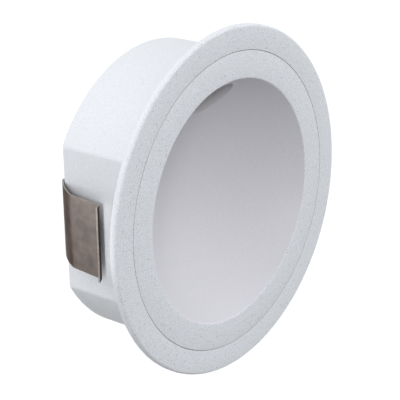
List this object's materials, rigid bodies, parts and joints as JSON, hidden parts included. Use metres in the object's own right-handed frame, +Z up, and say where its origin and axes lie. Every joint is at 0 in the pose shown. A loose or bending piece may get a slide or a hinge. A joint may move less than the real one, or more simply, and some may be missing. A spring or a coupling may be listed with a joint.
{
  "type": "recessed step light",
  "caption": "Round recessed step light: white flange with a concave bowl lit from an opening in its upper wall, on a drum with flats, held in the wall by spring clips.",
  "frame": {"origin": "centre of the flange's back face, in the plane of the wall", "axes": "+Y into the wall along the drum's axis, +Z up, so the lit face looks along -Y"},
  "size_m": [0.0794, 0.0344, 0.0794],
  "materials": {
    "powder_coat": "fine sand-textured white powder coat on die-cast aluminium",
    "spring_steel": "bare rolled spring steel strip, satin",
    "screw_steel": "zinc-plated steel",
    "silicone": "translucent silicone, matt",
    "foam_rubber": "black foam rubber, matt",
    "bare_aluminium": "milled",
    "thermal_silicone": "soft filled silicone sheet",
    "white_board": "white solder mask on an aluminium core",
    "led_phosphor": "yellow phosphor",
    "frosted_acrylic": "frosted acrylic diffuser",
    "circuit_board": "green solder mask on glass epoxy",
    "capacitor_can": "drawn aluminium can",
    "ferrite": "ferrite with copper winding inside",
    "black_epoxy": "moulded epoxy",
    "fuse_lacquer": "lacquered ceramic",
    "terminal_plastic": "moulded polyamide",
    "red_wire": "silicone insulated",
    "black_wire": "silicone insulated",
    "gland_nylon": "moulded light grey polyamide",
    "gland_rubber": "moulded black rubber"
  },
  "bodies": {
    "root": {"housing": "powder_coat", "bowl_insert": "powder_coat", "insert_gasket": "silicone", "insert_screws": "screw_steel", "wall_gasket": "foam_rubber", "heat_block": "bare_aluminium", "heat_block_screws": "screw_steel", "thermal_pad": "thermal_silicone", "led_board": "white_board", "led_emitter": "led_phosphor", "led_board_screws": "screw_steel", "led_lens": "frosted_acrylic", "lens_seal": "silicone", "driver_board": "circuit_board", "driver_board_screws": "screw_steel", "driver_capacitor": "capacitor_can", "driver_inductor": "ferrite", "bridge_rectifier": "black_epoxy", "driver_ic": "black_epoxy", "fuse_resistor": "fuse_lacquer", "terminal_block": "terminal_plastic", "terminal_screws": "screw_steel", "led_wire_positive": "red_wire", "led_wire_negative": "black_wire", "gland_body": "gland_nylon", "gland_locknut": "gland_nylon", "gland_washer": "gland_rubber", "gland_bush": "gland_rubber", "gland_cap": "gland_nylon", "left_clip_tab": "spring_steel", "right_clip_tab": "spring_steel", "clip_screws": "screw_steel"},
    "left_leaf": {"left_clip_leaf": "spring_steel"},
    "right_leaf": {"right_clip_leaf": "spring_steel"}
  },
  "joints": [
    {"name": "left_clip_flex", "type": "hinge", "parent": "root", "child": "left_leaf", "pos_m": [-0.02952, 0.02212, 0], "axis": [0, 0, 1], "range_deg": [0, 15], "stiffness_Nm_per_rad": 0.6},
    {"name": "right_clip_flex", "type": "hinge", "parent": "root", "child": "right_leaf", "pos_m": [0.02952, 0.02212, 0], "axis": [0, 0, -1], "range_deg": [0, 15], "stiffness_Nm_per_rad": 0.6}
  ]
}
